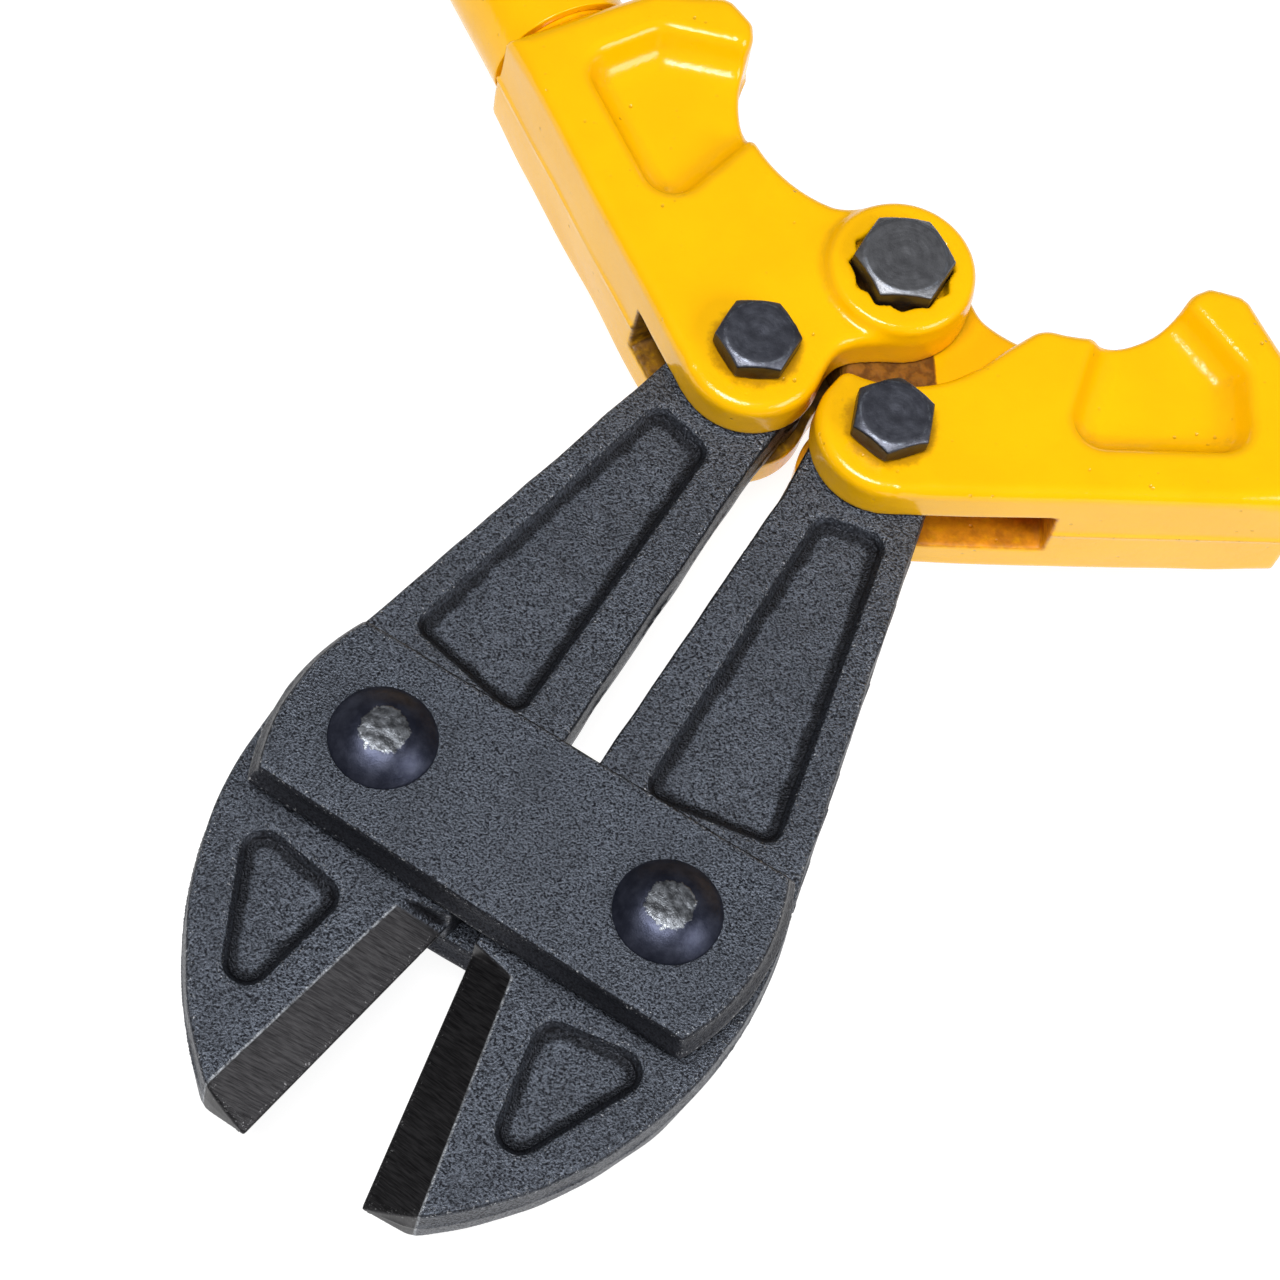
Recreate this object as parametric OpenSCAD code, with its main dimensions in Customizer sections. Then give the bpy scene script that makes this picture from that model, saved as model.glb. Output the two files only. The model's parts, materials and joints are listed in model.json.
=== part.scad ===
// Bolt cutters, 450 mm: two handles with cast heads, two forged jaws, two straps, five pivots.
// Frame: Z up, X across the tool, Y from the jaw tips towards the handles.
// The origin is under the middle of the open tool, on the plane that its lowest bolt end rests on.
// The shapes are drawn from the point midway between the strap rivets, in the jaws' middle plane.
// The tool is drawn fully open; the handles close about the main pivot.

/* [Linkage] */
// Distance between the two strap rivets
rivet_spacing = 45; // [44:0.5:46]
// Rivet to jaw bolt
jaw_link = 82.2; // [81:0.1:84]
// Jaw bolt to main pivot
head_link = 25.6; // [25.5:0.1:26.2]
// Lean of each jaw towards the middle with the tool open, degrees
lean_open = 7.9; // [7.6:0.1:8]
// Swing of each jaw from open to closed, degrees
jaw_swing = 9.8; // [9.4:0.1:9.8]
// Angle of each handle from the tool's axis with the tool open, degrees
handle_open = 57; // [57:1:65]

/* [Jaws] */
// Thickness of a jaw
jaw_t = 9; // [8:0.5:9]
// Length of the blade in front of the rivet
blade_l = 50.4; // [46:0.2:54]
// Width of the ground bevel beside the cutting edge
bevel_w = 7.6; // [6:0.2:9]
// Land left on the cutting edge
edge_land = 0.3; // [0.2:0.1:0.6]
// Gap between the two cutting edges with the tool closed
edge_gap = 0.3; // [0.2:0.1:0.6]
// Depth of the forged pockets
jaw_pocket_d = 1.5; // [0.8:0.1:2]
// Radius of the arm's end round the jaw bolt
arm_end_r = 9.6; // [9:0.1:9.8]

/* [Straps] */
// Thickness of one strap
strap_t = 7; // [5:0.5:7]
// Length of a strap along the tool
strap_l = 30; // [28:0.5:32]
// Width of a strap at the rivets
strap_w = 76; // [74:0.5:77]
// Play between a strap and the jaws
strap_play = 0.05; // [0.03:0.01:0.1]
// Radius of a rivet's shank
rivet_r = 5; // [4:0.25:5]
// Radius of a rivet's head
rivet_head_r = 7.8; // [7:0.1:8]
// Height of a rivet's head
rivet_head_h = 3.3; // [2.8:0.1:3.3]

/* [Handle heads] */
// Thickness of a cast head
head_t = 23.4; // [23:0.2:23.6]
// Radius of the lobe round the jaw bolt
lobe_r = 10.9; // [10.6:0.1:10.9]
// Radius of the boss round the main pivot
boss_r = 11.4; // [11:0.1:11.6]
// Height of the boss above the head's face
boss_h = 1.8; // [1:0.1:2]
// Height of the slots for the jaw and for the tongue
slot_h = 9.6; // [9.5:0.1:9.8]
// Thickness of the right head's tongue
tongue_t = 9.4; // [9:0.1:9.4]
// Depth of the side pockets
head_pocket_d = 5; // [3:0.5:6]
// Length from the jaw bolt to the end of the head
head_l = 61; // [60:0.5:64]

/* [Bolts] */
// Across flats of a jaw bolt's head
jaw_hex = 11; // [10:0.5:12]
// Radius of a jaw bolt's shank
jaw_bolt_r = 3.5; // [3:0.25:4]
// Height of a jaw bolt's head
jaw_hex_h = 4; // [3.5:0.1:4.5]
// Across flats of the main bolt's head
main_hex = 13; // [12:0.5:13]
// Radius of the main bolt's shank
main_bolt_r = 4.5; // [4:0.25:4.75]
// Height of the main bolt's head above its recess
main_hex_h = 5.8; // [5.2:0.1:6.2]
// Depth of the twelve-point recess in the boss
recess_d = 3; // [2.5:0.1:3.5]
// Running clearance of a shank in a turning part
run_fit = 0.05; // [0.03:0.01:0.09]

/* [Handles] */
// Outer radius of the steel tube
tube_r = 11.3; // [11:0.1:11.5]
// Wall of the steel tube
tube_wall = 1.6; // [1.2:0.1:2]
// Length of the head's spigot inside the tube
spigot_l = 42; // [35:1:50]
// Length from the jaw bolt to the end of the grip
handle_l = 317.5; // [300:0.5:330]
// Length of the rubber grip
grip_l = 124; // [110:1:130]
// Radius of the grip
grip_r = 14.6; // [14:0.1:15]
// Radius of the grip's front flange
flange_r = 17.6; // [16.5:0.1:18]
// Thickness of the grip's closed end
grip_end_t = 3; // [2.5:0.5:4]

/* [Hidden] */

$fn = 96;
cut = 0.5; // how far a cutting shape runs past the face that it opens

black_steel = [0.13, 0.14, 0.16];
dark_bolt = [0.2, 0.21, 0.24];
yellow_paint = [0.98, 0.77, 0.02];
black_rubber = [0.08, 0.08, 0.08];

rivet_x = rivet_spacing / 2;
half_jaw = jaw_t / 2;
half_head = head_t / 2;
half_slot = slot_h / 2;

// Jaw bolt and main pivot with the tool open
bolt_x = rivet_x - jaw_link * sin(lean_open);
bolt_y = jaw_link * cos(lean_open);
main_y = bolt_y + sqrt(head_link ^ 2 - bolt_x ^ 2);

// Jaw bolt seen from its rivet, with the jaws closed
lean_closed = lean_open - jaw_swing;
bolt_jx = -jaw_link * sin(lean_closed);
bolt_jy = jaw_link * cos(lean_closed);

// Main pivot seen from the jaw bolt, along and across the handle
handle_a = 90 - handle_open;
main_s = -bolt_x * cos(handle_a) + (main_y - bolt_y) * sin(handle_a);
main_t = bolt_x * sin(handle_a) + (main_y - bolt_y) * cos(handle_a);

// Jaw outline, drawn from the rivet with the jaws closed
edge_x = -rivet_x + edge_gap / 2;
blade_arc_r = 60.7;
blade_arc = [-44.5, 2.7];
slot_travel = 4.8; // way of the loose rivet in the right jaw at half travel
slot_rise = 0.43; // and how far that way bows towards the handles

// Strap outline
strap_arc_r = 34.8;
strap_skew = 0.85; // how far the front edge is out of square at its ends
strap_z = half_jaw + strap_play;
strap_top = strap_z + strap_t;

// Head outline, drawn from the jaw bolt with s along and t across the handle
swing_r = 18.3; // room round the main pivot for the other head
tube_t = 0.3; // the tube's axis, across the handle
head_arc = [31, 36.4]; // the notch before the horn
head_arc_r = 20;
tongue_gap_r = 18.9;
arm_slot_r = 10.4;
ear_r = boss_r - 0.2; // the ear under the raised boss
root = 4; // the spigot starts this far inside the head

boss_top = half_head + boss_h;
recess_z = boss_top - recess_d;
washer_t = 1.2;
main_washer_t = 1.6;
lock_washer_t = 2;
jaw_nut_h = 5.5;
main_nut_h = 6.4;
thread_out = 1;

// Middle of the open tool, from the blade tips to the grip ends, and the height of its rest
tip_edge_y = edge_x * sin(jaw_swing) - blade_l * cos(jaw_swing);
grip_y = bolt_y + (handle_l - 4) * sin(handle_a) + (tube_t + grip_r) * cos(handle_a);
centre_y = (tip_edge_y + grip_y) / 2;
jaw_nut_z = -half_head - washer_t;
main_lock_z = -boss_top - main_washer_t;
main_nut_z = main_lock_z - lock_washer_t;
main_end_z = main_nut_z - main_nut_h - thread_out;
module at_rest() {
    translate([0, -centre_y, -main_end_z]) children();
}

// Places: a jaw from its rivet, a handle from its jaw bolt; side is 1 for right and -1 for left
module on_side(side) {
    if (side > 0) children();
    else mirror([1, 0, 0]) children();
}
module at_jaw(side) {
    at_rest() on_side(side) translate([rivet_x, 0, 0]) rotate(jaw_swing) children();
}
module at_handle(side) {
    at_rest() on_side(side) translate([bolt_x, bolt_y, 0]) rotate(handle_a) children();
}

// A slab between two heights from a flat outline
module slab(z0, z1) {
    translate([0, 0, z0]) linear_extrude(z1 - z0) children();
}
module disc(x, y, r, z0, z1) {
    translate([x, y, z0]) cylinder(r = r, h = z1 - z0);
}

// ---- Jaws
// A convex outline with round corners; the points are the corner arcs' centres, anticlockwise
function heading(a, b) = atan2(b[1] - a[1], b[0] - a[0]);
function rounded(c, r, n = 6) = [
    for (i = [0:len(c) - 1])
        let (before = c[(i + len(c) - 1) % len(c)], after = c[(i + 1) % len(c)])
        let (start = heading(before, c[i]) - 90)
        let (sweep = (heading(c[i], after) - 90 - start + 720) % 360)
        for (k = [0:n]) c[i] + r * [cos(start + sweep * k / n), sin(start + sweep * k / n)]
];
module both_faces(depth) {
    for (s = [-1, 1]) scale([1, 1, s]) slab(half_jaw - depth, half_jaw + cut) children();
}
module jaw_outline() {
    tip = [edge_x + bevel_w, -blade_l + 0.2];
    intersection() {
        translate(blade_arc) circle(blade_arc_r, $fn = 240);
        polygon([[edge_x, -blade_l], tip, [40, -blade_l], [40, 12], [-19.7, 12],
                 [-20.9, 10], [edge_x, 1.6]]);
    }
    polygon([[-20.4, 11.9], [15.6, 11.9], [bolt_jx + arm_end_r - 0.1, bolt_jy - 4],
             [bolt_jx, bolt_jy], [bolt_jx - arm_end_r, bolt_jy - 2], [-7.9, 70], [-12.8, 42],
             [-16.7, 20]]);
    translate([bolt_jx, bolt_jy]) circle(arm_end_r);
}
// Wedge taken off one face beside the cutting edge
module bevel_wedge() {
    run = bevel_w + 2;
    rise = (half_jaw - edge_land / 2) / bevel_w;
    translate([edge_x, -13, 0]) rotate([90, 0, 0]) linear_extrude(50)
        polygon([[-1, edge_land / 2 - rise], [run, edge_land / 2 + run * rise], [run, 9], [-1, 9]]);
}
module jaw(side) {
    hole_r = rivet_r + run_fit;
    color(black_steel) at_jaw(side) difference() {
        slab(-half_jaw, half_jaw) jaw_outline();
        bevel_wedge();
        mirror([0, 0, 1]) bevel_wedge();
        both_faces(jaw_pocket_d)
            polygon(rounded([[-7, -33.7], [1.9, -20.8], [-7.1, -20.6]], 3.2));
        both_faces(jaw_pocket_d)
            polygon(rounded([[-6.8, 20.4], [7.8, 20.6], [6.2, 66.6], [0.3, 66.2]], 2.5));
        disc(0, 0, hole_r, -half_jaw - cut, half_jaw + cut);
        if (side > 0) {
            disc(-slot_travel, slot_rise - 0.1, hole_r + 0.1, -half_jaw - cut, half_jaw + cut);
            slab(-half_jaw - cut, half_jaw + cut)
                polygon([[0, -hole_r], [0, hole_r], [-1.4, hole_r + slot_rise - 0.1],
                         [-2.7, hole_r + slot_rise], [-slot_travel, hole_r + slot_rise + 0.1],
                         [-slot_travel, -hole_r]]);
        }
        disc(bolt_jx, bolt_jy, jaw_bolt_r + run_fit, -half_jaw - cut, half_jaw + cut);
    }
}

// ---- Straps and rivets
module strap(z0) {
    color(black_steel) at_rest() difference() {
        intersection() {
            slab(z0, z0 + strap_t) union() {
                for (s = [-1, 1]) translate([s * (strap_w / 2 - strap_arc_r), 0])
                    circle(strap_arc_r, $fn = 240);
            }
            slab(z0 - 1, z0 + strap_t + 1) scale([z0 > 0 ? 1 : -1, 1]) polygon([
                [-strap_w / 2, strap_skew - strap_l / 2], [strap_w / 2, -strap_skew - strap_l / 2],
                [strap_w / 2, strap_l / 2], [-strap_w / 2, strap_l / 2]]);
        }
        for (s = [-1, 1]) disc(s * rivet_x, 0, rivet_r, z0 - cut, z0 + strap_t + cut);
    }
}
module rivet_head() {
    dome_h = rivet_head_h + 0.4;
    dome_r = (rivet_head_r ^ 2 + dome_h ^ 2) / (2 * dome_h);
    intersection() {
        translate([0, 0, strap_top + dome_h - dome_r]) sphere(dome_r);
        disc(0, 0, rivet_head_r + 1, strap_top, strap_top + rivet_head_h);
    }
}
module rivet(side) {
    color(dark_bolt) at_rest() translate([side * rivet_x, 0, 0]) {
        disc(0, 0, rivet_r, -strap_top, strap_top);
        rivet_head();
        mirror([0, 0, 1]) rivet_head();
    }
}

// ---- Handle heads
module head_outline() {
    difference() {
        union() {
            polygon([[-5.2, 8], [-5.2, 17], [main_s - 6, main_t], [main_s + 4, main_t + 9],
                     [20, 30], [48.2, 25], [49.4, 25.3], [54.6, 24.2], [55.8, 23.2],
                     [head_l, 13.4], [head_l, -lobe_r], [0, -lobe_r], [-3, 0]]);
            circle(lobe_r);
        }
        translate(head_arc) circle(head_arc_r, $fn = 160);
    }
    translate([main_s, main_t]) circle(ear_r);
}
module head_pocket() {
    polygon(rounded([[31.8, 2.5], [48.6, 2.5], [48.8, 9.9], [41.6, 20], [38.2, 20]], 4.8));
}
// Room for the jaw's arm over its whole swing, and the open side slot behind it
module arm_room(slot_end) {
    circle(arm_slot_r);
    polygon([[0, arm_slot_r], [-30, arm_slot_r], [-30, -30], [slot_end, -30],
             [slot_end, -4], [arm_slot_r, -1]]);
}
module head_blank(slot_end) {
    difference() {
        slab(-half_head, half_head) head_outline();
        slab(-half_slot, half_slot) arm_room(slot_end);
        for (s = [-1, 1]) scale([1, 1, s])
            slab(half_head - head_pocket_d, half_head + cut) head_pocket();
        disc(0, 0, jaw_bolt_r, -half_head - cut, half_head + cut);
    }
    translate([head_l - root, tube_t, 0]) rotate([0, 90, 0])
        cylinder(r = tube_r - tube_wall, h = spigot_l + root);
}
// Left head: a fork with raised bosses, the upper one holding the twelve-point recess
module left_handle_head() {
    color(yellow_paint) at_handle(-1) difference() {
        union() {
            head_blank(14.5);
            disc(main_s, main_t, boss_r, -boss_top, boss_top);
        }
        disc(main_s, main_t, tongue_gap_r, -half_slot, half_slot);
        disc(main_s, main_t, main_bolt_r, -boss_top - cut, boss_top + cut);
        translate([main_s, main_t, recess_z]) for (a = [0, 30])
            rotate(a - handle_a) cylinder(r = main_hex / sqrt(3) + 0.3, h = recess_d + cut, $fn = 6);
    }
}
// Right head: the same casting with a tongue between the left head's ears
module right_handle_head() {
    color(yellow_paint) at_handle(1) difference() {
        head_blank(25);
        for (s = [-1, 1]) scale([1, 1, s])
            slab(tongue_t / 2, half_head + cut) {
                translate([main_s, main_t]) circle(swing_r);
                polygon([[main_s, main_t], [13.8, 10.6], [24.2, 17.5], [24.2, 34], [10, 34]]);
            }
        disc(main_s, main_t, main_bolt_r + run_fit, -half_head, half_head);
    }
}

// ---- Tubes and grips
module along_handle(side) {
    at_handle(side) translate([0, tube_t, 0]) rotate([0, 90, 0]) children();
}
module tube(side) {
    tube_end = handle_l - grip_end_t;
    color(yellow_paint) along_handle(side) difference() {
        disc(0, 0, tube_r, head_l, tube_end);
        disc(0, 0, tube_r - tube_wall, head_l - cut, tube_end + cut);
    }
}
module grip(side) {
    start = handle_l - grip_l;
    flange_w = 5;
    color(black_rubber) along_handle(side) rotate_extrude() polygon([
        [tube_r, start], [grip_r, start], [flange_r, start + 2], [flange_r, start + flange_w],
        [grip_r, start + flange_w + 4], [grip_r, handle_l - 4], [grip_r - 3, handle_l],
        [0, handle_l], [0, handle_l - grip_end_t], [tube_r, handle_l - grip_end_t]]);
}

// ---- Bolts, washers and nuts
// A hexagon with both ends chamfered, across flats af, from z0 to z1
module hexagon(af, z0, z1) {
    corner = af / sqrt(3);
    chamfer = (corner - af / 2) * 0.62;
    intersection() {
        translate([0, 0, z0]) cylinder(r = corner, h = z1 - z0, $fn = 6);
        rotate_extrude() polygon([[0, z0], [af / 2 - 0.2, z0], [corner, z0 + chamfer],
                                  [corner, z1 - chamfer], [af / 2 - 0.2, z1], [0, z1]]);
    }
}
module washer(r_in, r_out, z0, z1) {
    difference() {
        disc(0, 0, r_out, z0, z1);
        disc(0, 0, r_in, z0 - cut, z1 + cut);
    }
}
module nut(af, r_in, z0, z1) {
    difference() {
        hexagon(af, z0, z1);
        disc(0, 0, r_in, z0 - cut, z1 + cut);
    }
}
module jaw_bolt(side) {
    turn = side > 0 ? 18 : -4;
    color(dark_bolt) at_handle(side) {
        rotate(turn) hexagon(jaw_hex, half_head, half_head + jaw_hex_h);
        disc(0, 0, jaw_bolt_r, jaw_nut_z - jaw_nut_h - thread_out, half_head + 1);
    }
}
module jaw_washer(side) {
    color(dark_bolt) at_handle(side) washer(jaw_bolt_r, 7.5, jaw_nut_z, -half_head);
}
module jaw_nut(side) {
    color(dark_bolt) at_handle(side) rotate(12) nut(jaw_hex, jaw_bolt_r, jaw_nut_z - jaw_nut_h, jaw_nut_z);
}
module at_main() {
    at_rest() translate([0, main_y, 0]) children();
}
module main_bolt() {
    color(dark_bolt) at_main() {
        rotate(30) hexagon(main_hex, recess_z, recess_z + main_hex_h);
        disc(0, 0, main_bolt_r, main_end_z, recess_z + 1);
    }
}
module main_washer() {
    color(dark_bolt) at_main() washer(main_bolt_r, 9.5, main_lock_z, -boss_top);
}
module main_lock_washer() {
    color(dark_bolt) at_main() difference() {
        washer(main_bolt_r, 7.6, main_nut_z, main_lock_z);
        translate([main_bolt_r - 0.5, -0.6, main_nut_z - cut]) cube([5, 1.2, lock_washer_t + 2 * cut]);
    }
}
module main_nut() {
    color(dark_bolt) at_main() rotate(20) nut(main_hex, main_bolt_r, main_nut_z - main_nut_h, main_nut_z);
}

left_handle_head();
right_handle_head();
tube(-1);  // left_tube
tube(1);  // right_tube
grip(-1);  // left_grip
grip(1);  // right_grip
jaw(-1);  // left_jaw
jaw(1);  // right_jaw
strap(strap_z);  // top_strap
strap(-strap_z - strap_t);  // bottom_strap
rivet(-1);  // left_rivet
rivet(1);  // right_rivet
jaw_bolt(-1);  // left_jaw_bolt
jaw_bolt(1);  // right_jaw_bolt
jaw_washer(-1);  // left_jaw_washer
jaw_washer(1);  // right_jaw_washer
jaw_nut(-1);  // left_jaw_nut
jaw_nut(1);  // right_jaw_nut
main_bolt();
main_washer();
main_lock_washer();
main_nut();
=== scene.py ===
# Bolt cutters: painted cast handle heads on tube handles, forged jaws between two straps
import json
import math

import bmesh
import bpy
import numpy as np
import openvdb
from mathutils import Matrix, Vector


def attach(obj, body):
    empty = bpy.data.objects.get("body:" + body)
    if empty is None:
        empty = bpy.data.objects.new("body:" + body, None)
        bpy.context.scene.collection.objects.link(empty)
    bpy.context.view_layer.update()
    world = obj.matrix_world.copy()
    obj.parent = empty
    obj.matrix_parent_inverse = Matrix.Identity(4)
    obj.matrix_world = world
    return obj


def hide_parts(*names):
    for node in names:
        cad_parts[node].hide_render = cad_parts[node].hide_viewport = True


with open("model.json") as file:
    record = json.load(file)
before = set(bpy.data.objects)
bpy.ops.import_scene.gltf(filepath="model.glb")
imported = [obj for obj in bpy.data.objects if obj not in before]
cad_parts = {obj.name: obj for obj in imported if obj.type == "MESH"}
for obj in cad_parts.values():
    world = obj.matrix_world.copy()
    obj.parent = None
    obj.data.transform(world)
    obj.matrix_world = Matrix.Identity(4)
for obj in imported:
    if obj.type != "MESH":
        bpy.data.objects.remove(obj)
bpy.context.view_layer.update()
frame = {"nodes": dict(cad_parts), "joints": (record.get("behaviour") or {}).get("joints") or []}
print("frame loaded:", len(frame["nodes"]), "nodes")
mm = 0.001

# where things are, in mm
jointPlace = {j["name"]: [v / mm for v in j["pos_m"]] for j in frame["joints"]}
mainPivot = np.array(jointPlace["handle_pivot"])
jawBolt = np.array(jointPlace["right_jaw_pivot"])
rivetCentre = np.array(jointPlace["strap_pivot"]) * [-1, 1, 1]
handleTilt = math.radians(33)  # right handle from +X
jawTilt = math.radians(9.8)  # right jaw, open, from closed


def turned(points, angle):
    c, s = math.cos(angle), math.sin(angle)
    p = np.asarray(points, float)
    return np.stack([c * p[..., 0] - s * p[..., 1], s * p[..., 0] + c * p[..., 1], p[..., 2]], -1)


class Seat:
    # a local frame of one piece; side is 1 for right and -1 for left
    def __init__(self, centre, angle=0.0, side=1):
        self.centre, self.angle, self.side = np.array(centre, float), angle, side

    def toRow(self, points):
        p = turned(points, self.angle) + self.centre
        p[..., 0] *= self.side
        return p * mm


def handleSeat(side):
    return Seat(jawBolt, handleTilt, side)


def jawSeat(side):
    return Seat(rivetCentre, jawTilt, side)


mainLocal = turned(mainPivot - jawBolt, -handleTilt)


# distance fields for castings and forgings
class Block:
    # a block of sample points in a piece's local frame
    def __init__(self, low, high, step):
        self.low, self.step = np.array(low, float), step
        counts = np.ceil((np.array(high) - self.low) / step).astype(int) + 1
        axes = [self.low[i] + step * np.arange(counts[i]) for i in range(3)]
        self.x, self.y, self.z = np.meshgrid(*axes, indexing="ij", sparse=True)

    def ring(self, cx, cy, r):
        return np.hypot(self.x - cx, self.y - cy) - r

    def outline(self, points):
        px, py = np.broadcast_arrays(self.x, self.y)
        best = np.full(px.shape, 1e12)
        inside = np.zeros(px.shape, bool)
        for (ax, ay), (bx, by) in zip(points, points[1:] + points[:1]):
            ex, ey = bx - ax, by - ay
            wx, wy = px - ax, py - ay
            t = np.clip((wx * ex + wy * ey) / (ex * ex + ey * ey), 0, 1)
            best = np.minimum(best, (wx - ex * t) ** 2 + (wy - ey * t) ** 2)
            if ey:
                crosses = (ay <= py) != (by <= py)
                inside ^= crosses & (wx < ex * wy / ey)
        return np.where(inside, -np.sqrt(best), np.sqrt(best))

    def between(self, low, high):
        return np.maximum(low - self.z, self.z - high)

    def waves(self, size, seed, count=14):
        # gentle unevenness, about -1 to 1
        rng = np.random.default_rng(seed)
        total = 0
        for k in range(count):
            d = rng.normal(size=3)
            d *= 2 * math.pi / (size * rng.uniform(0.7, 1.6) * np.linalg.norm(d))
            total = total + np.sin(self.x * d[0] + self.y * d[1] + self.z * d[2] + rng.uniform(0, 6.3))
        return total / math.sqrt(count)


def joined(a, b, r=0.0):
    if np.ndim(r) == 0 and r <= 0:
        return np.minimum(a, b)
    return np.maximum(r, np.minimum(a, b)) - np.hypot(np.maximum(r - a, 0), np.maximum(r - b, 0))


def common(a, b, r=0.0):
    if np.ndim(r) == 0 and r <= 0:
        return np.maximum(a, b)
    return np.minimum(-r, np.maximum(a, b)) + np.hypot(np.maximum(r + a, 0), np.maximum(r + b, 0))


def cutAway(a, b, r=0.0):
    return common(a, -b, r)


def blurred(field, reach):
    out = field.astype(np.float32)
    for _ in range(2):
        for axis in range(3):
            pad = [(0, 0)] * 3
            pad[axis] = (reach + 1, reach)
            run = np.cumsum(np.pad(out, pad, mode="edge"), axis=axis, dtype=np.float64)
            n = out.shape[axis]
            high = np.take(run, np.arange(2 * reach + 1, 2 * reach + 1 + n), axis=axis)
            low = np.take(run, np.arange(n), axis=axis)
            out = ((high - low) / (2 * reach + 1)).astype(np.float32)
    return out


def sampled(field, block, points):
    q = (points - block.low) / block.step
    top = np.array(field.shape) - 2
    i = np.clip(np.floor(q).astype(int), 0, top)
    f = np.clip(q - i, 0, 1)
    total = 0
    for dx in (0, 1):
        for dy in (0, 1):
            for dz in (0, 1):
                corner = (dx, dy, dz)
                w = np.prod([f[:, k] if corner[k] else 1 - f[:, k] for k in range(3)], axis=0)
                total = total + w * field[i[:, 0] + dx, i[:, 1] + dy, i[:, 2] + dz]
    return total


farFromCut = 9.0  # mm, for pieces that no cutter has touched


def settle(obj, seat, local=None, marks=None):
    # moves a mesh in local mm to its place, and keeps what the materials read
    mesh = obj.data
    co = np.empty(len(mesh.vertices) * 3, np.float32)
    mesh.vertices.foreach_get("co", co)
    co = co.reshape(-1, 3).astype(float)
    local = co if local is None else local
    mesh.vertices.foreach_set("co", seat.toRow(co).astype(np.float32).ravel())
    places = mesh.attributes.new("local", "FLOAT_VECTOR", "POINT")
    places.data.foreach_set("vector", local.astype(np.float32).ravel())
    plain = {"relief": np.zeros(len(co)), "steep": np.zeros(len(co)), "cut": np.full(len(co), farFromCut)}
    marks = {**plain, **(marks or {})}
    for label, values in marks.items():
        mesh.attributes.new(label, "FLOAT", "POINT").data.foreach_set("value", values.astype(np.float32))
    if seat.side < 0:
        mesh.flip_normals()
    mesh.update()
    return obj


def newObject(name, mesh):
    obj = bpy.data.objects.new(name, mesh)
    bpy.context.scene.collection.objects.link(obj)
    return obj


def filled(block, field):
    # a field with a value at every point of its block
    shape = np.broadcast_shapes(field.shape, block.x.shape, block.y.shape, block.z.shape)
    return np.ascontiguousarray(np.broadcast_to(field, shape), dtype=np.float32)


reliefReach = 0.8  # mm, how far round a point the relief looks


def skinned(name, block, field, seat, cut=None):
    # a field's zero surface as a mesh; relief is above 0 on edges and below 0 in corners
    field = filled(block, field)
    grid = openvdb.FloatGrid(background=3.0)
    grid.copyFromArray(field)
    points, triangles, quads = grid.convertToPolygons(isovalue=0.0, adaptivity=0.0)
    points = points.astype(float) * block.step + block.low
    h = block.step * 0.5
    for _ in range(2):  # pull the points onto the field itself
        value = sampled(field, block, points)
        ahead = [sampled(field, block, points + h * axis) for axis in np.eye(3)]
        behind = [sampled(field, block, points - h * axis) for axis in np.eye(3)]
        grad = (np.stack(ahead, -1) - np.stack(behind, -1)) / (2 * h)
        size = np.maximum((grad ** 2).sum(-1), 0.2)
        points -= np.clip(value / size, -0.3 * block.step, 0.3 * block.step)[:, None] * grad
    soft = blurred(field, max(1, round(reliefReach / block.step)))
    relief = sampled(soft, block, points)
    steep = 1 - np.abs(grad[:, 2]) / np.sqrt(size)
    faces = [list(map(int, f)) for f in triangles] + [list(map(int, f)) for f in quads]
    mesh = bpy.data.meshes.new(name)
    mesh.from_pydata(points.tolist(), [], faces)
    mesh.validate()
    bm = bmesh.new()
    bm.from_mesh(mesh)
    if bm.calc_volume(signed=True) < 0:
        bmesh.ops.reverse_faces(bm, faces=bm.faces)
    bm.to_mesh(mesh)
    bm.free()
    mesh.shade_smooth()
    obj = newObject(name, mesh)
    print(name, len(mesh.polygons), "faces, relief", np.percentile(relief, [1, 50, 99]).round(3))
    marks = {"relief": relief, "steep": steep}
    if cut is not None:
        marks["cut"] = sampled(filled(block, cut), block, points)
    return settle(obj, seat, points, marks)


def roundedOutline(centres, r, n=8):
    # convex outline with round corners about the given centres, anticlockwise
    out = []
    count = len(centres)
    for i in range(count):
        a, b, c = (np.array(centres[(i + k) % count], float) for k in (-1, 0, 1))
        start = math.atan2(*(b - a)[::-1]) - math.pi / 2
        sweep = (math.atan2(*(c - b)[::-1]) - math.pi / 2 - start) % (2 * math.pi)
        for k in range(n + 1):
            angle = start + sweep * k / n
            out.append(tuple(b + r * np.array([math.cos(angle), math.sin(angle)])))
    return out


# camera, floor and light
cameraSettings = {
    "place": (0.0634, -0.3121, 0.5373),
    "right": (0.8507, 0.5087, 0.1328),
    "down": (0.5129, -0.7475, -0.4222),
    "lens": 114.5,
}


def makeCamera(s):
    data = bpy.data.cameras.new("camera")
    data.lens, data.sensor_width, data.sensor_fit = s["lens"], 36, "HORIZONTAL"
    data.clip_start, data.clip_end = 0.02, 20
    cam = newObject("camera", data)
    right = Vector(s["right"]).normalized()
    up = -Vector(s["down"])
    back = right.cross(up).normalized()
    up = back.cross(right)
    cam.matrix_world = Matrix.Translation(s["place"]) @ Matrix((right, up, back)).transposed().to_4x4()
    bpy.context.scene.camera = cam


def softbox(name, place, aim, size, power):
    data = bpy.data.lights.new(name, "AREA")
    data.shape, data.size, data.size_y = "RECTANGLE", size[0], size[1]
    data.energy = power
    lamp = newObject(name, data)
    lamp.location = place
    lamp.rotation_euler = (Vector(aim) - Vector(place)).to_track_quat("-Z", "Y").to_euler()
    return lamp


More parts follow.
